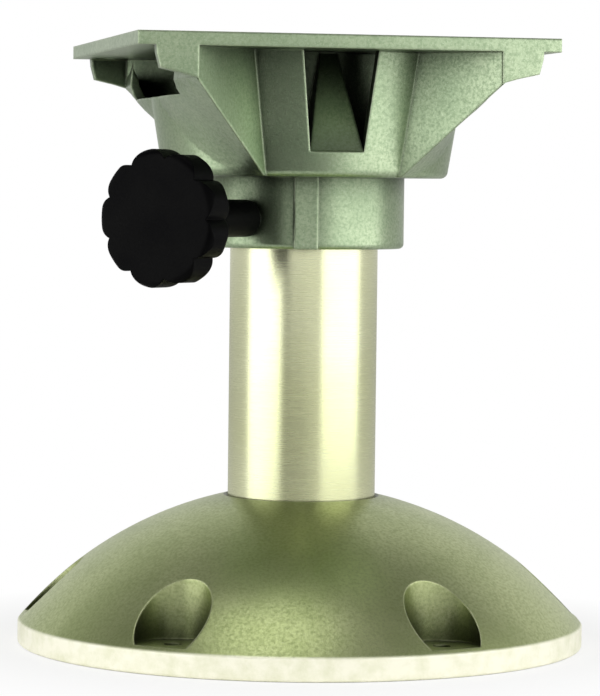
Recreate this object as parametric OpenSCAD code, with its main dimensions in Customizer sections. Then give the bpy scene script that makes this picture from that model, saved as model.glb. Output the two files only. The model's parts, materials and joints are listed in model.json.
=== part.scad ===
// Short pedestal with a round cast foot, a tube post and a square swivelling head that a star knob locks.
// Millimetres, +Z up. The origin is the centre of the foot's underside, and the head's front face looks to -Y.

/* [Foot] */
// Outside diameter of the cast foot
base_d = 230; // [180:1:300]
// Height of the foot where the post comes out
base_h = 60.4; // [45:0.1:80]
// Height of the upright rim round the foot
rim_h = 8.4; // [5:0.1:16]
// Radius of the dome in section
dome_radius = 153; // [120:1:400]
// Wall thickness of the dome
dome_wall = 6; // [4:0.5:10]
// Number of fixing screws
screw_count = 6; // [4:1:8]
// Diameter of the circle that the fixing screws sit on
screw_pcd = 206; // [150:1:260]
// Diameter of the clearance hole for a fixing screw
screw_hole_d = 7; // [4:0.1:10]
// Diameter of the round recess over each fixing screw
recess_d = 29.6; // [18:0.1:40]
// Height of the recess floor above the ground
recess_floor = 10.8; // [5:0.1:20]
// Direction of the first fixing screw, from the front of the head towards +X
screw_angle = 19.6; // [0:0.1:60]
// Outside diameter of the socket under the dome that holds the post
socket_d = 78; // [68:1:100]
// Thickness of the stiffening ribs under the dome
base_rib = 4; // [3:0.5:8]

/* [Post] */
// Outside diameter of the post tube
post_d = 60; // [45:0.5:75]
// Wall thickness of the post tube
post_wall = 3; // [2:0.25:5]
// Height of the post's foot above the ground
post_bottom = 8; // [4:0.5:14]
// Height of the post's top end
post_top = 221; // [160:1:420]
// Thickness of the flange of the bearing cap in the post's top
cap_flange = 3; // [2:0.25:6]
// Depth of the bearing cap's plug in the post
cap_plug = 14; // [6:1:30]
// Thickness of the steel washer on the bearing cap
washer_t = 1.5; // [1:0.1:3]

/* [Socket screws] */
// Number of grub screws that hold the post in the foot
grub_count = 3; // [2:1:6]
// Diameter of a grub screw
grub_d = 8; // [5:1:10]
// Height of the grub screws above the ground
grub_z = 24; // [14:0.5:36]
// Size across the flats of a grub screw's hexagon socket
grub_key = 4; // [2:0.5:5]

/* [Head] */
// Length of each side of the square plate
plate_w = 166; // [120:1:220]
// Thickness of the plate
plate_t = 5.3; // [4:0.1:10]
// Height of the plate's top face
head_top = 244; // [180:1:450]
// Height of the collar's lower end
collar_bottom = 161; // [120:1:360]
// Outside diameter of the collar
collar_d = 81; // [74:0.5:100]
// Height of the underside of the round cup above the collar
cup_bottom = 189.6; // [150:0.1:400]
// Diameter of the cup at its underside, before its edge is rounded
cup_d_low = 115.2; // [100:0.1:140]
// Diameter of the cup under the plate
cup_d_high = 131.4; // [110:0.1:150]
// Radius of the rounded edge round the cup's underside
cup_edge = 3; // [1:0.5:8]
// Wall thickness of the cup and its wings
head_wall = 5.5; // [4:0.5:8]
// Inner end of each web's lower edge, sideways from the middle
web_in_x = 27.3; // [20:0.1:34]
// Inner end of each web's lower edge, forwards from the middle
web_in_y = 51.6; // [46:0.1:60]
// Outer end of each web at the plate's front and back faces, sideways from the middle
web_out = 60.5; // [50:0.5:66]
// Height of the web's lower edge at its outer end
web_end_z = 226.6; // [205:0.1:234]
// Height of the sill of the openings at the head's two sides
sill_z = 221; // [205:0.5:232]
// Half width of each side opening
side_open = 51; // [30:0.5:66]
// Height below the sill at which the wings begin to swell outwards to it
swell_h = 10; // [4:0.5:20]
// Swelling of the wings at the sill
swell = 3.5; // [0:0.1:6]
// Outer end of each corner skirt, from the plate's middle line
skirt_end = 76; // [66:0.5:82]
// Thickness of each corner skirt
skirt_t = 5; // [3:0.5:8]
// Rise of the skirt's lower edge from the web's end to the corner
skirt_rise = 3.4; // [1:0.1:7]
// Half width of the front and back openings at their lower edge
notch_low = 10.7; // [6:0.1:18]
// Half width of the front and back openings under the plate
notch_high = 15; // [8:0.1:24]
// Height of the lower edge of the front and back openings
notch_z = 199.5; // [194:0.5:215]
// Half width of the top end of the sloping rib in each of those openings
rib_half = 3.4; // [2:0.1:8]
// Width of the raised strip down the collar
strip_w = 9.4; // [4:0.1:16]
// Height that the raised strip stands out of the collar
strip_h = 1.2; // [0.5:0.1:3]
// Direction of the raised strip, from the front towards +X
strip_angle = -11.3; // [-90:0.1:90]
// Spacing of the four screw holes in the plate, both ways
plate_pitch = 142; // [100:1:190]
// Diameter of the screw holes in the plate
plate_hole_d = 8.5; // [5:0.1:11]
// Diameter of the opening in the middle of the plate
plate_mid_d = 60; // [30:1:70]
// Thickness of the cover that rests on the post
crown_t = 6; // [4:0.5:10]

/* [Bushes] */
// Wall thickness of the two plastic bushes
bush_wall = 2.4; // [1.5:0.1:4]
// Length of the lower bush
bush_low_l = 26; // [14:0.5:40]
// Length of the upper bush
bush_high_l = 22; // [12:0.5:40]

/* [Knob] */
// Number of lobes on the knob
lobes = 9; // [5:1:12]
// Diameter over the lobes
knob_d = 53.6; // [40:0.1:70]
// Radius of each lobe
lobe_r = 8.6; // [5:0.1:12]
// Thickness of the lobed head
knob_t = 13; // [8:0.5:18]
// Distance of the knob's front face from the post's axis
knob_face = 105; // [85:0.5:120]
// Diameter of the knob's neck
neck_d = 14.8; // [13:0.1:22]
// Distance of the neck's inner end from the post's axis
neck_end = 42; // [41:0.1:60]
// Height of the knob's axis
knob_z = 173; // [150:0.5:350]
// Direction of the knob, from the front towards -X
knob_angle = 45; // [0:1:90]
// Rounding of the lobed head's edges
knob_edge = 3; // [1:0.1:4]
// Diameter of the steel stud
stud_d = 10; // [6:1:12]
// Depth of the stud in the knob's neck
stud_grip = 30; // [12:1:44]
// Diameter of the brass clamp pad
pad_d = 8; // [5:0.5:10]
// Thickness of the brass clamp pad
pad_t = 3.6; // [2:0.1:6]
// Diameter of the pad's spigot in the stud's tip
spigot_d = 4; // [3:0.5:6]

/* [Clearances] */
// Radial clearance between the post and the bushes
run_gap = 0.05; // [0.01:0.01:0.1]
// Radial clearance of the stud in its thread, and of the spigot in the stud
thread_gap = 0.05; // [0.01:0.01:0.1]
// Gap between the clamp pad and the post when the knob is just slack
pad_gap = 0.3; // [0.1:0.05:1]
// Gap between the head's crown and the washer that it turns on
crown_gap = 0.05; // [0.01:0.01:0.3]

/* [Hidden] */
$fn = 96;
post_r = post_d / 2;
post_in_r = post_r - post_wall;
base_r = base_d / 2;
plate_under = head_top - plate_t;
half = plate_w / 2;
bore_r = post_r + run_gap + bush_wall;
washer_z = post_top + cap_flange;
crown_z = washer_z + washer_t + crown_gap;
bush_low_z = collar_bottom + 2;
bush_high_z = post_top - bush_high_l;
mouth_r = 2.6;
rim_edge = 1.2;
pad_tip = post_r + pad_gap;
pad_back = pad_tip + pad_t;
lobe_pcr = knob_d / 2 - lobe_r;
cup_slope = (cup_d_high - cup_d_low) / 2 / (plate_under - cup_bottom);
web_dir = [web_out - web_in_x, half - web_in_y] / norm([web_out - web_in_x, half - web_in_y]);
wing_levels = 12;
wing_steps = 6;
web_root = 6;
seam_sink = 0.5;

// The dome's arc runs from the mouth round the post to the top of the rim.
arc_a = [post_r + 6, base_h - 1.2];
arc_b = [base_r - 0.6, rim_h + 1.2];
arc_half = norm(arc_b - arc_a) / 2;
arc_sink = sqrt(dome_radius * dome_radius - arc_half * arc_half);
arc_dir = (arc_b - arc_a) / (2 * arc_half);
arc_c = (arc_a + arc_b) / 2 + arc_sink * [arc_dir[1], -arc_dir[0]];

// Outside radius of the cup at a height.
function cup_r(z) = cup_d_low / 2 + (z - cup_bottom) * cup_slope;

// Outer edge of a wing at a height, moved in by skin from the web's face.
function wing_edge(z, skin) =
  let (t = min(1, max(0, (z - cup_bottom - 1.3 * skin) / (web_end_z - cup_bottom))))
  [web_in_x + t * (web_out - web_in_x) + skin * web_dir[1], web_in_y + t * (half - web_in_y) - skin * web_dir[0]];

// Point where a level line from that edge runs into the cup's side.
function wing_foot(z, skin) =
  let (f = wing_edge(z, skin), r = cup_r(z) - skin - seam_sink, a = atan2(f[1], f[0]) - acos(r / norm(f)))
  [r * cos(a), r * sin(a)];

// Places a child that is drawn along +Z on the knob's axis, with z as the distance from the post's axis.
module on_knob_axis() {
  translate([0, 0, knob_z])
    rotate([0, 0, -knob_angle])
      rotate([90, 0, 0])
        children();
}

module round_bar(r, z0, z1) {
  translate([0, 0, z0])
    cylinder(r = r, h = z1 - z0);
}

// Upper half plane of the dome's section, at a given depth below the outer skin.
module dome_section(depth) {
  intersection() {
    translate(arc_c)
      circle(r = dome_radius - depth, $fn = 360);
    square([base_r - depth, base_h]);
  }
}

// Section of the foot: a dome shell with an upright rim, and the socket that holds the post.
module foot_section() {
  difference() {
    union() {
      difference() {
        dome_section(0);
        translate([0, -1])
          square([base_r + 1, rim_h]);
      }
      square([base_r - rim_edge, rim_h]);
      translate([0, rim_edge])
        square([base_r, rim_h - rim_edge]);
      translate([base_r - rim_edge, rim_edge])
        circle(r = rim_edge, $fn = 48);
    }
    intersection() {
      translate(arc_c)
        circle(r = dome_radius - dome_wall, $fn = 360);
      translate([socket_d / 2, -1])
        square([base_r - dome_wall - socket_d / 2, base_h]);
    }
    translate([-1, post_bottom])
      square([post_r + 1, base_h]);
    translate([-1, -1])
      square([post_in_r + 1, base_h]);
    difference() {
      translate([post_r - 1, base_h - mouth_r])
        square([mouth_r + 1, mouth_r + 1]);
      translate([post_r + mouth_r, base_h - mouth_r])
        circle(r = mouth_r, $fn = 64);
    }
  }
}

module at_screws(turn) {
  for (i = [0 : screw_count - 1])
    rotate([0, 0, screw_angle + (i + turn) * 360 / screw_count])
      children();
}

module base_casting() {
  color([0.78, 0.79, 0.72])
    difference() {
      union() {
        rotate_extrude($fn = 240)
          foot_section();
        intersection() {
          union() {
            at_screws(0)
              translate([0, -screw_pcd / 2, 0])
                round_bar(recess_d / 2 + 4, 0, base_h);
            at_screws(0.5)
              translate([-base_rib / 2, -base_r + dome_wall / 2, 1])
                cube([base_rib, base_r - dome_wall / 2 - socket_d / 2 + 2, base_h]);
          }
          rotate_extrude($fn = 240)
            difference() {
              dome_section(dome_wall / 2);
              translate([-1, -1])
                square([socket_d / 2, base_h + 1]);
            }
        }
      }
      at_screws(0)
        translate([0, -screw_pcd / 2, 0]) {
          round_bar(recess_d / 2, recess_floor, base_h + 1);
          round_bar(screw_hole_d / 2, -1, recess_floor + 1);
        }
      for (i = [0 : grub_count - 1])
        rotate([0, 0, i * 360 / grub_count])
          translate([0, 0, grub_z])
            rotate([90, 0, 0])
              round_bar(grub_d / 2, post_r - 2, socket_d / 2 + 2);
    }
}

module post_tube() {
  color([0.86, 0.87, 0.82])
    difference() {
      round_bar(post_r, post_bottom, post_top);
      round_bar(post_in_r, post_bottom - 1, post_top + 1);
    }
}

module post_grub_screws() {
  color([0.3, 0.3, 0.32])
    for (i = [0 : grub_count - 1])
      rotate([0, 0, i * 360 / grub_count])
        translate([0, 0, grub_z])
          rotate([90, 0, 0])
            difference() {
              intersection() {
                round_bar(grub_d / 2, post_r - 1, socket_d / 2);
                rotate([-90, 0, 0])
                  difference() {
                    translate([0, 0, -grub_d])
                      cylinder(r = socket_d, h = 2 * grub_d);
                    translate([0, 0, -grub_d - 1])
                      cylinder(r = post_r, h = 2 * grub_d + 2);
                  }
              }
              translate([0, 0, socket_d / 2 - 3.5])
                cylinder(r = grub_key / sqrt(3), h = 5, $fn = 6);
            }
}

module post_cap() {
  color([0.9, 0.9, 0.86])
    difference() {
      union() {
        round_bar(post_in_r, post_top - cap_plug, post_top + 1);
        round_bar(post_r - 0.4, post_top, post_top + cap_flange);
      }
      round_bar(post_in_r - 3.5, post_top - cap_plug - 1, post_top - 1);
    }
}

module thrust_washer() {
  color([0.7, 0.7, 0.72])
    difference() {
      round_bar(post_r - 1.5, washer_z, washer_z + washer_t);
      round_bar(8, washer_z - 1, washer_z + washer_t + 1);
    }
}

module bush(z0, len) {
  difference() {
    round_bar(bore_r, z0, z0 + len);
    round_bar(post_r + run_gap, z0 - 1, z0 + len + 1);
  }
}

module lower_bush() {
  color([0.2, 0.2, 0.2])
    difference() {
      bush(bush_low_z, bush_low_l);
      on_knob_axis()
        round_bar(stud_d / 2 + thread_gap, post_r - 5, bore_r + 5);
    }
}

module upper_bush() {
  color([0.2, 0.2, 0.2])
    bush(bush_high_z, bush_high_l);
}

// Swelling of a wing's side at a height.
function wing_swell(z) = abs(z - sill_z) < swell_h ? swell * cos(90 * (z - sill_z) / swell_h) : 0;

// Level section of a wing: the cup's axis, the side from the cup to the wing's edge, and the web's root in the cup.
function wing_ring(z, skin) =
  let (f = wing_edge(z, skin), t = wing_foot(z, skin), out = [f[1] - t[1], t[0] - f[0]] / norm(f - t))
  [[0, 0, z], for (j = [0 : wing_steps])
    let (k = j / wing_steps) [each t + k * (f - t) + 4 * k * (1 - k) * wing_swell(z) * out, z],
   [each wing_edge(0, skin) - web_root * web_dir, z]];

// One of the four flaring wings, in the corner towards +X and +Y, with every face moved in by skin.
module wing(skin) {
  low = cup_bottom + skin + 0.3;
  step = (web_end_z + 1.3 * skin - low) / (wing_levels - 1);
  n = wing_steps + 3;
  points = [for (i = [0 : wing_levels]) each wing_ring(i < wing_levels ? low + i * step : plate_under + 0.5, skin)];
  sides = [for (i = [0 : wing_levels - 1]) each [for (j = [0 : n - 1]) each
    let (a = n * i + j, b = n * i + (j + 1) % n) [[a, a + n, b], [b, a + n, b + n]]]];
  floor = [for (j = [0 : n - 1]) j];
  polyhedron(points = points, faces = concat([floor], sides, [[for (j = [n - 1 : -1 : 0]) n * wing_levels + j]]));
}

module four_corners() {
  for (mx = [0, 1])
    for (my = [0, 1])
      mirror([mx, 0, 0])
        mirror([0, my, 0])
          children();
}

// Half section of the cup, with its wall moved in by skin.
module cup_section(skin) {
  z0 = cup_bottom + skin;
  z1 = plate_under + 0.5;
  out = [1, -cup_slope] / norm([1, cup_slope]);
  mid = [cup_r(z0) - skin + cup_edge * (cup_slope - norm([1, cup_slope])), z0 + cup_edge];
  difference() {
    polygon([[0, z0], [cup_r(z0) - skin, z0], [cup_r(z1) - skin, z1], [0, z1]]);
    difference() {
      polygon([mid, mid - [0, 2 * cup_edge], mid + 2 * cup_edge * [1, -1], mid + 2 * cup_edge * out]);
      translate(mid)
        circle(r = cup_edge, $fn = 64);
    }
  }
}

module corner_skirt() {
  translate([0, half, 0])
    rotate([90, 0, 0])
      linear_extrude(skirt_t)
        polygon([[web_out - 1, plate_under + 0.5], [skirt_end, plate_under + 0.5], [skirt_end - 0.3, plate_under - 3],
                 [skirt_end - 1.8, web_end_z + skirt_rise], [web_out + 5.3, web_end_z + 0.45 * skirt_rise],
                 [web_out, web_end_z], [web_out - 1, web_end_z - 0.6]]);
}

// Front and back openings: a wide one through the wall, with a rib in it that leans back to the hub.
module end_openings() {
  translate([0, half + 1, 0])
    rotate([90, 0, 0])
      linear_extrude(plate_w + 2)
        polygon([[-notch_low, notch_z], [notch_low, notch_z], [notch_high, plate_under], [-notch_high, plate_under]]);
}

module end_ribs() {
  intersection() {
    translate([0, half, 0])
      rotate([90, 0, 0])
        linear_extrude(plate_w)
          polygon([[-notch_low, notch_z], [-notch_low, notch_z - 3], [notch_low, notch_z - 3], [notch_low, notch_z],
                   [rib_half, plate_under + 0.5], [-rib_half, plate_under + 0.5]]);
    rotate([90, 0, 90])
      translate([0, 0, -half])
        linear_extrude(plate_w)
          for (m = [0, 1])
            mirror([m, 0])
              polygon([[0, notch_z - 3], [cup_r(notch_z) - 2, notch_z - 3], [cup_r(notch_z) - 1.3, notch_z],
                       [collar_d / 2, plate_under + 0.5], [0, plate_under + 0.5]]);
  }
}

module head_casting() {
  color([0.62, 0.72, 0.58])
    difference() {
      union() {
        difference() {
          union() {
            translate([-half, -half, plate_under])
              cube([plate_w, plate_w, plate_t]);
            rotate_extrude($fn = 180)
              cup_section(0);
            four_corners()
              wing(0);
          }
          difference() {
            intersection() {
              union() {
                rotate_extrude($fn = 180)
                  cup_section(head_wall);
                four_corners()
                  wing(head_wall);
              }
              translate([-half, -half, cup_bottom + head_wall])
                cube([plate_w, plate_w, plate_under - cup_bottom - head_wall]);
            }
            round_bar(collar_d / 2, cup_bottom, plate_under + 1);
          }
          for (side = [-1, 1])
            translate([side * (collar_d / 2 + 2 + half), 0, (sill_z + plate_under) / 2])
              cube([2 * half, 2 * side_open, plate_under - sill_z], center = true);
          end_openings();
        }
        end_ribs();
        four_corners()
          corner_skirt();
        rotate_extrude($fn = 180)
          union() {
            translate([0, collar_bottom + 2])
              square([collar_d / 2, plate_under - collar_bottom - 1]);
            translate([0, collar_bottom])
              square([collar_d / 2 - 2, 3]);
            translate([collar_d / 2 - 2, collar_bottom + 2])
              circle(r = 2, $fn = 48);
          }
        rotate([0, 0, strip_angle])
          translate([-strip_w / 2, -collar_d / 2 - strip_h, collar_bottom])
            cube([strip_w, 4, cup_bottom - collar_bottom + 1]);
      }
      round_bar(bore_r, collar_bottom - 1, crown_z);
      round_bar(plate_mid_d / 2, crown_z + crown_t, head_top + 1);
      for (x = [-1, 1])
        for (y = [-1, 1])
          translate([x * plate_pitch / 2, y * plate_pitch / 2, 0])
            round_bar(plate_hole_d / 2, plate_under - 1, head_top + 1);
      on_knob_axis()
        round_bar(stud_d / 2 + thread_gap, post_r, collar_d / 2 + 3);
    }
}

// The lobed head is a fluted outline cut from a disc with rounded edges.
module knob_head() {
  intersection() {
    linear_extrude(knob_t)
      union() {
        circle(r = lobe_pcr, $fn = 64);
        for (i = [0 : lobes - 1])
          rotate([0, 0, 180 + i * 360 / lobes])
            translate([lobe_pcr, 0])
              circle(r = lobe_r, $fn = 64);
      }
    rotate_extrude($fn = 144)
      union() {
        square([knob_d / 2 - knob_edge, knob_t]);
        translate([0, knob_edge])
          square([knob_d / 2, knob_t - 2 * knob_edge]);
        translate([knob_d / 2 - knob_edge, knob_edge])
          circle(r = knob_edge, $fn = 48);
        translate([knob_d / 2 - knob_edge, knob_t - knob_edge])
          circle(r = knob_edge, $fn = 48);
      }
  }
}

module knob_body() {
  color([0.05, 0.05, 0.05])
    on_knob_axis()
      difference() {
        union() {
          translate([0, 0, knob_face - knob_t])
            knob_head();
          round_bar(neck_d / 2, neck_end + 1.6, knob_face - knob_t + 1);
          translate([0, 0, neck_end])
            cylinder(r1 = neck_d / 2 - 1.6, r2 = neck_d / 2, h = 1.6);
        }
        round_bar(stud_d / 2, neck_end - 1, neck_end + stud_grip);
      }
}

module knob_stud() {
  color([0.72, 0.73, 0.74])
    on_knob_axis()
      difference() {
        round_bar(stud_d / 2, pad_back + 0.1, neck_end + stud_grip);
        round_bar(spigot_d / 2 + thread_gap, pad_back, pad_back + 4.5);
      }
}

module clamp_pad() {
  color([0.75, 0.6, 0.25])
    on_knob_axis()
      union() {
        round_bar(pad_d / 2, pad_tip, pad_back);
        round_bar(spigot_d / 2, pad_back - 1, pad_back + 4);
      }
}

base_casting();
post_tube();
post_grub_screws();
post_cap();
thrust_washer();
lower_bush();
upper_bush();
head_casting();
knob_body();
knob_stud();
clamp_pad();
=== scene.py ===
import json
import math

import bmesh
import bpy
from mathutils import Matrix, Vector

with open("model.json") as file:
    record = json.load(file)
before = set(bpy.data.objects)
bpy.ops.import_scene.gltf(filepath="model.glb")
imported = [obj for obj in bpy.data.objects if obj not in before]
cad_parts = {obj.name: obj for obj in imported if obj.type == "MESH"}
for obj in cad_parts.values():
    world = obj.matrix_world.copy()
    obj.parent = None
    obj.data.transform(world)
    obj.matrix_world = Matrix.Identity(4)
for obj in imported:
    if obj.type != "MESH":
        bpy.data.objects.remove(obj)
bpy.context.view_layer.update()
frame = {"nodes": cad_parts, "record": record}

# The camera stands to the left of the head's front, this many degrees round the post.
VIEW_TURN = 12.4
CAMERA_DISTANCE = 1.35
CAMERA_HEIGHT = 0.186
# Downward tilt and roll of the camera, in radians.
CAMERA_PITCH = 0.0488
CAMERA_ROLL = 0.0115
# The photo's height, focal length and sideways shift, in pixels.
PHOTO_HEIGHT = 696
FOCAL_LENGTH = 3317
SIDE_SHIFT = -2.8
SENSOR_WIDTH = 36
# The upright rim of the foot lies outside this radius and below this height; both edges are a little soft.
RIM_RADIUS = (0.114, 0.1146)
RIM_HEIGHT = (0.0088, 0.0104)


def srgb(r, g, b):
    """Linear colour of an 8-bit display colour."""
    def one(v):
        v /= 255
        return v / 12.92 if v <= 0.04045 else ((v + 0.055) / 1.055) ** 2.4
    return (one(r), one(g), one(b), 1.0)


def view_direction(turn):
    """Level unit vector from the post's axis, turn degrees to the right of the way to the camera."""
    a = math.radians(turn - VIEW_TURN)
    return Vector((math.sin(a), -math.cos(a), 0))


def camera():
    """Camera at the photo's viewing angle."""
    data = bpy.data.cameras.new("camera")
    data.sensor_width = SENSOR_WIDTH
    data.lens = FOCAL_LENGTH / PHOTO_HEIGHT * SENSOR_WIDTH
    data.shift_x = SIDE_SHIFT / PHOTO_HEIGHT
    data.clip_start = 0.05
    data.clip_end = 20
    obj = bpy.data.objects.new("camera", data)
    bpy.context.collection.objects.link(obj)
    back = view_direction(0)
    obj.location = back * CAMERA_DISTANCE + Vector((0, 0, CAMERA_HEIGHT))
    look = -back * math.cos(CAMERA_PITCH) + Vector((0, 0, -math.sin(CAMERA_PITCH)))
    turn = look.to_track_quat("-Z", "Y").to_matrix() @ Matrix.Rotation(CAMERA_ROLL, 3, "Z")
    obj.rotation_euler = turn.to_euler()
    return obj


bpy.context.scene.camera = camera()


class Nodes:
    """Short forms for building a material's nodes."""

    def __init__(self, name):
        self.mat = bpy.data.materials.new(name)
        self.mat.use_nodes = True
        self.tree = self.mat.node_tree
        self.tree.nodes.clear()
        self.out = self.add("ShaderNodeOutputMaterial")
        self.coord = self.add("ShaderNodeTexCoord").outputs["Object"]

    def add(self, kind, inputs=None, **props):
        """New node with its inputs, each a value or another node's output, and its other settings."""
        node = self.tree.nodes.new(kind)
        for key, value in props.items():
            setattr(node, key, value)
        for key, value in (inputs or {}).items():
            self.put(node.inputs[key], value)
        return node

    def put(self, socket, value):
        if isinstance(value, bpy.types.NodeSocket):
            self.tree.links.new(value, socket)
        else:
            socket.default_value = value

    def noise(self, scale, detail=3.0, rough=0.55, vector=None, distortion=0.0):
        """Noise between 0 and 1 in the object's own coordinates, so that it moves with its piece."""
        inputs = {"Vector": vector or self.coord, "Scale": scale, "Detail": detail}
        inputs.update({"Roughness": rough, "Distortion": distortion})
        return self.add("ShaderNodeTexNoise", inputs).outputs["Fac"]

    def ramp(self, fac, stops):
        """Ramp from (position, value) stops; a value is a grey level or a colour."""
        node = self.add("ShaderNodeValToRGB", {"Fac": fac})
        elements = node.color_ramp.elements
        while len(elements) < len(stops):
            elements.new(0.5)
        for element, (position, value) in zip(elements, stops):
            element.position = position
            element.color = value if isinstance(value, tuple) else (value, value, value, 1)
        return node.outputs["Color"]

    def mix(self, fac, a, b, blend="MIX"):
        """Mix of two colours, which are sockets 6 and 7 of the node."""
        node = self.add("ShaderNodeMix", data_type="RGBA", blend_type=blend)
        for index, value in ((0, fac), (6, a), (7, b)):
            self.put(node.inputs[index], value)
        return node.outputs[2]

    def math(self, op, a, b=0.0, c=0.0):
        return self.add("ShaderNodeMath", {0: a, 1: b, 2: c}, operation=op).outputs[0]

    def span(self, value, limits, ends=(0.0, 1.0)):
        """Straight line from one end value to the other between two limits, flat outside them."""
        inputs = {"Value": value, "From Min": limits[0], "From Max": limits[1]}
        inputs.update({"To Min": ends[0], "To Max": ends[1]})
        return self.add("ShaderNodeMapRange", inputs).outputs["Result"]

    def scaled(self, x, y, z):
        """Object coordinates stretched by a factor along each axis."""
        return self.add("ShaderNodeMapping", {"Vector": self.coord, "Scale": (x, y, z)}).outputs["Vector"]

    def bump(self, height, strength, distance, normal=None):
        """Normal with a height laid over it, distance metres deep at full strength."""
        inputs = {"Height": height, "Strength": strength, "Distance": distance}
        if normal:
            inputs["Normal"] = normal
        return self.add("ShaderNodeBump", inputs).outputs["Normal"]

    def round_edges(self, radius):
        """Normal with the sharp edges rounded, as casting and wear leave them."""
        return self.add("ShaderNodeBevel", {"Radius": radius}, samples=6).outputs["Normal"]

    def edges(self, radius):
        """Share of edge wear: how far the rounded normal leans away from the face's own."""
        geometry = self.add("ShaderNodeNewGeometry").outputs["Normal"]
        dot = self.add("ShaderNodeVectorMath", {0: self.round_edges(radius), 1: geometry},
                       operation="DOT_PRODUCT").outputs["Value"]
        worn = self.math("MULTIPLY", self.math("SUBTRACT", 1.0, dot), self.noise(160, 3))
        return self.ramp(worn, [(0.02, 0.0), (0.14, 0.55)])

    def painted_shade_in_hollows(self, distance, low):
        """Painted shade in the corners and hollows, where less light reaches: 1 in the open and low where
        the surface is closed in.
        """
        closed = self.add("ShaderNodeAmbientOcclusion", {"Distance": distance}, samples=6).outputs["AO"]
        return self.ramp(closed, [(0.3, low), (0.9, 1.0)])

    def shader(self, color, rough, metallic=0.0, normal=None, specular=0.5):
        """Closes the material with one surface shader and returns it."""
        inputs = {"Base Color": color, "Roughness": rough, "Metallic": metallic}
        inputs["Specular IOR Level"] = specular
        if normal:
            inputs["Normal"] = normal
        node = self.add("ShaderNodeBsdfPrincipled", inputs)
        self.tree.links.new(node.outputs["BSDF"], self.out.inputs["Surface"])
        return self.mat


def head_paint():
    """Silver-green metallic enamel on a cast surface, thinner and brighter at the edges."""
    n = Nodes("head_paint")
    grain = n.noise(850, 3, 0.65)
    flake = n.noise(2100, 2, 0.6)
    blotch = n.noise(34, 4, 0.6)
    tone = n.ramp(blotch, [(0.32, srgb(152, 170, 138)), (0.7, srgb(171, 186, 154))])
    tone = n.mix(n.ramp(grain, [(0.42, 0.0), (0.62, 0.5)]), tone, srgb(124, 146, 113))
    tone = n.mix(n.ramp(flake, [(0.6, 0.0), (0.74, 0.5)]), tone, srgb(206, 218, 192))
    tone = n.mix(n.edges(0.0011), tone, srgb(196, 206, 178))
    # Painted shade: the paint's colour is darkened in corners, pockets and under the plate, where less
    # light reaches.
    tone = n.mix(1.0, tone, n.painted_shade_in_hollows(0.03, 0.04), "MULTIPLY")
    normal = n.bump(grain, 0.3, 0.0002, n.bump(blotch, 0.2, 0.0005, n.round_edges(0.0013)))
    rough = n.ramp(grain, [(0.3, 0.28), (0.7, 0.4)])
    return n.shader(tone, rough, 0.96, normal)


def cast_metal():
    """Bare cast aluminium gone olive, with a paler rim."""
    n = Nodes("cast_metal")
    grain = n.noise(800, 3, 0.65)
    fine = n.noise(2400, 2, 0.6)
    blotch = n.noise(17, 4, 0.6, distortion=0.6)
    tone = n.ramp(blotch, [(0.34, srgb(170, 182, 126)), (0.66, srgb(196, 205, 152))])
    tone = n.mix(n.ramp(grain, [(0.42, 0.0), (0.64, 0.45)]), tone, srgb(134, 148, 92))
    tone = n.mix(n.ramp(fine, [(0.6, 0.0), (0.75, 0.4)]), tone, srgb(224, 226, 196))
    tone = n.mix(n.edges(0.001), tone, srgb(226, 226, 196))
    place = n.add("ShaderNodeSeparateXYZ", {"Vector": n.coord}).outputs
    squares = [n.math("POWER", place[axis], 2.0) for axis in "XY"]
    reach = n.math("SQRT", n.math("ADD", *squares))
    rim = n.math("MULTIPLY", n.span(reach, RIM_RADIUS), n.span(place["Z"], RIM_HEIGHT, (1.0, 0.0)))
    stain = n.ramp(n.noise(120, 4, 0.65), [(0.35, srgb(236, 236, 208)), (0.6, srgb(252, 250, 230))])
    # Painted shade darkens the cast colour in the recesses and corners; the rim's pale colour is laid over
    # it.
    tone = n.mix(rim, n.mix(1.0, tone, n.painted_shade_in_hollows(0.028, 0.12), "MULTIPLY"), stain)
    metal = n.math("MULTIPLY_ADD", rim, -0.8, 0.95)
    rough = n.ramp(grain, [(0.3, 0.28), (0.7, 0.4)])
    normal = n.bump(grain, 0.3, 0.0002, n.bump(blotch, 0.2, 0.0008, n.round_edges(0.001)))
    return n.shader(tone, rough, metal, normal)


def tube_metal():
    """Brushed bright tube, with fine lines round it."""
    n = Nodes("tube_metal")
    lines = n.noise(1.0, 3, 0.6, n.scaled(60, 60, 2600))
    tone = n.ramp(n.noise(14, 3), [(0.35, srgb(224, 227, 180)), (0.7, srgb(233, 235, 200))])
    rough = n.ramp(lines, [(0.3, 0.24), (0.8, 0.3)])
    return n.shader(tone, rough, 1.0, n.bump(lines, 0.04, 0.0001, n.round_edges(0.0005)))


def knob_plastic():
    """Near-black moulded plastic."""
    n = Nodes("knob_plastic")
    grain = n.noise(1500, 2, 0.5)
    tone = n.ramp(n.noise(60, 3), [(0.3, srgb(2, 2, 3)), (0.7, srgb(7, 7, 7))])
    normal = n.bump(grain, 0.15, 0.0002, n.round_edges(0.0008))
    return n.shader(tone, n.ramp(grain, [(0.3, 0.4), (0.8, 0.55)]), 0.0, normal, specular=0.035)


def steel(name, light):
    """Turned metal of a given 8-bit colour, with fine lines."""
    n = Nodes(name)
    lines = n.noise(1.0, 3, 0.6, n.scaled(400, 400, 2500))
    tone = n.ramp(lines, [(0.3, srgb(*light)), (0.8, srgb(*[int(v * 0.82) for v in light]))])
    normal = n.bump(lines, 0.15, 0.0001, n.round_edges(0.0003))
    return n.shader(tone, n.ramp(lines, [(0.3, 0.25), (0.8, 0.42)]), 1.0, normal)


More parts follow.
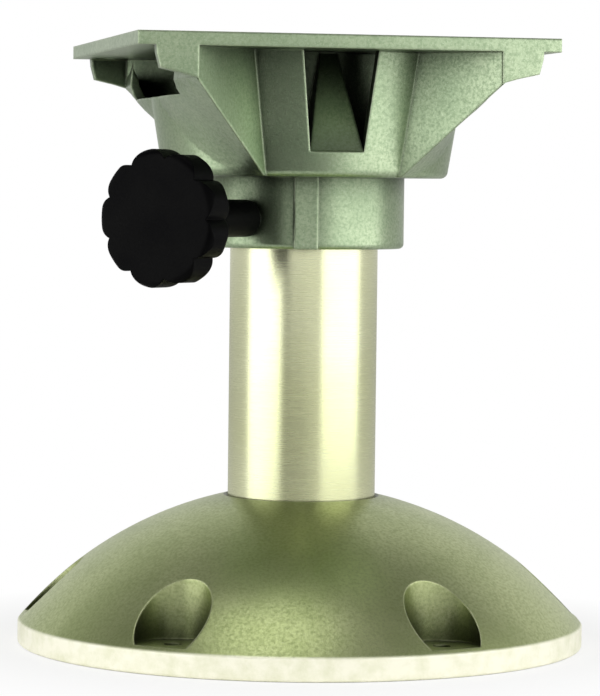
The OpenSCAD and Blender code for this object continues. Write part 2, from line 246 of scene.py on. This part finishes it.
def bearing_plastic():
    """Off-white plastic of the bushes and the cap."""
    n = Nodes("bearing_plastic")
    grain = n.noise(700, 3)
    tone = n.ramp(n.noise(40, 3), [(0.3, srgb(216, 214, 200)), (0.7, srgb(228, 227, 216))])
    normal = n.bump(grain, 0.12, 0.0002, n.round_edges(0.0004))
    return n.shader(tone, n.ramp(grain, [(0.3, 0.42), (0.8, 0.55)]), 0.0, normal)


SLOT_MAT = {
    "cast_metal": cast_metal(), "tube_metal": tube_metal(), "head_paint": head_paint(),
    "knob_plastic": knob_plastic(), "bearing_plastic": bearing_plastic(),
    "screw_steel": steel("screw_steel", (62, 62, 64)),
    "bright_steel": steel("bright_steel", (205, 205, 208)),
    "pad_brass": steel("pad_brass", (212, 180, 105)),
}
# Each node carried over from the frame gets the material that its slot in the record names.
slot_of = {s["node"]: s["material_slot"] for s in frame["record"]["subparts"]}
for node, obj in frame["nodes"].items():
    obj.data.materials.clear()
    obj.data.materials.append(SLOT_MAT[slot_of[node]])


def flat(name, half_size):
    """Square face on the ground, round the origin."""
    bm = bmesh.new()
    bmesh.ops.create_grid(bm, x_segments=1, y_segments=1, size=half_size)
    mesh = bpy.data.meshes.new(name)
    bm.to_mesh(mesh)
    bm.free()
    obj = bpy.data.objects.new(name, mesh)
    bpy.context.collection.objects.link(obj)
    return obj


def floor_material():
    """Pale and matt; the camera sees it white away from the foot, and with a soft shadow near the foot."""
    n = Nodes("floor")
    n.shader(srgb(238, 238, 236), 0.9)
    lit = n.out.inputs["Surface"].links[0].from_socket
    glow = n.add("ShaderNodeEmission", {"Strength": 1.0}).outputs["Emission"]
    reach = n.add("ShaderNodeVectorMath", {0: n.coord}, operation="LENGTH").outputs["Value"]
    seen = n.add("ShaderNodeLightPath").outputs["Is Camera Ray"]
    white = n.math("MULTIPLY", n.ramp(reach, [(0.125, 0.72), (0.2, 1.0)]), seen)
    both = n.add("ShaderNodeMixShader", {0: white, 1: lit, 2: glow}).outputs["Shader"]
    n.tree.links.new(both, n.out.inputs["Surface"])
    return n.mat


floor = flat("floor", 6)
floor.data.materials.append(floor_material())


def studio_world():
    """White to the camera, bright in reflections from behind the object and dim in the others."""
    world = bpy.data.worlds.new("world")
    world.use_nodes = True
    nodes, links = world.node_tree.nodes, world.node_tree.links
    path = nodes.new("ShaderNodeLightPath")

    def choose(ray, otherwise, value):
        """One strength for a kind of ray and another for the rest; sockets 2 and 3 are the two numbers."""
        node = nodes.new("ShaderNodeMix")
        links.new(path.outputs[ray], node.inputs[0])
        for socket, source in ((node.inputs[2], otherwise), (node.inputs[3], value)):
            if isinstance(source, bpy.types.NodeSocket):
                links.new(source, socket)
            else:
                socket.default_value = source
        return node.outputs[0]

    facing = nodes.new("ShaderNodeVectorMath")
    facing.operation = "DOT_PRODUCT"
    links.new(nodes.new("ShaderNodeTexCoord").outputs["Generated"], facing.inputs[0])
    facing.inputs[1].default_value = -view_direction(0) - Vector((0, 0, 0.9))
    behind = nodes.new("ShaderNodeMapRange")
    for key, value in (("From Min", -0.35), ("From Max", 0.25), ("To Min", 0.14), ("To Max", 0.78)):
        behind.inputs[key].default_value = value
    links.new(facing.outputs["Value"], behind.inputs["Value"])
    background = nodes["Background"]
    background.inputs["Color"].default_value = (1, 1, 1, 1)
    strength = choose("Is Camera Ray", choose("Is Glossy Ray", 0.5, behind.outputs["Result"]), 1.0)
    links.new(strength, background.inputs["Strength"])
    return world


bpy.context.scene.world = studio_world()


def lamp(name, turn, distance, height, size, radiance, aim):
    """Soft box turn degrees to the right of the camera, aimed at a height on the post's axis."""
    data = bpy.data.lights.new(name, "AREA")
    data.shape = "RECTANGLE"
    data.size, data.size_y = size
    data.energy = radiance * math.pi * size[0] * size[1]
    obj = bpy.data.objects.new(name, data)
    bpy.context.collection.objects.link(obj)
    obj.location = view_direction(turn) * distance + Vector((0, 0, height))
    obj.rotation_euler = (Vector((0, 0, aim)) - obj.location).to_track_quat("-Z", "Y").to_euler()


lamp("left_box", -62, 0.6, 0.2, (0.66, 0.38), 1.9, 0.18)
lamp("right_box", 61, 0.46, 0.22, (0.61, 0.36), 1.75, 0.18)
lamp("top_box", -30, 0.4, 1.4, (0.8, 0.7), 1.7, 0.1)
lamp("front_fill", 0, 2.4, 0.6, (2.0, 0.9), 1.25, 0.2)

# A dark card that only reflections see lies on the floor before the object, as in a photographer's studio.
CARD_TURN = -16
card = flat("dark_card", 0.5)
card.location = view_direction(CARD_TURN) * 0.9 + Vector((0, 0, 0.002))
card.rotation_euler = (0, 0, math.radians(CARD_TURN - VIEW_TURN))
card.scale = (0.72, 1.1, 1.0)
card.visible_camera = card.visible_diffuse = card.visible_shadow = False
card.data.materials.append(Nodes("dark_card").shader((0.01, 0.01, 0.01, 1), 0.9))

bpy.context.scene.view_settings.view_transform = "Standard"
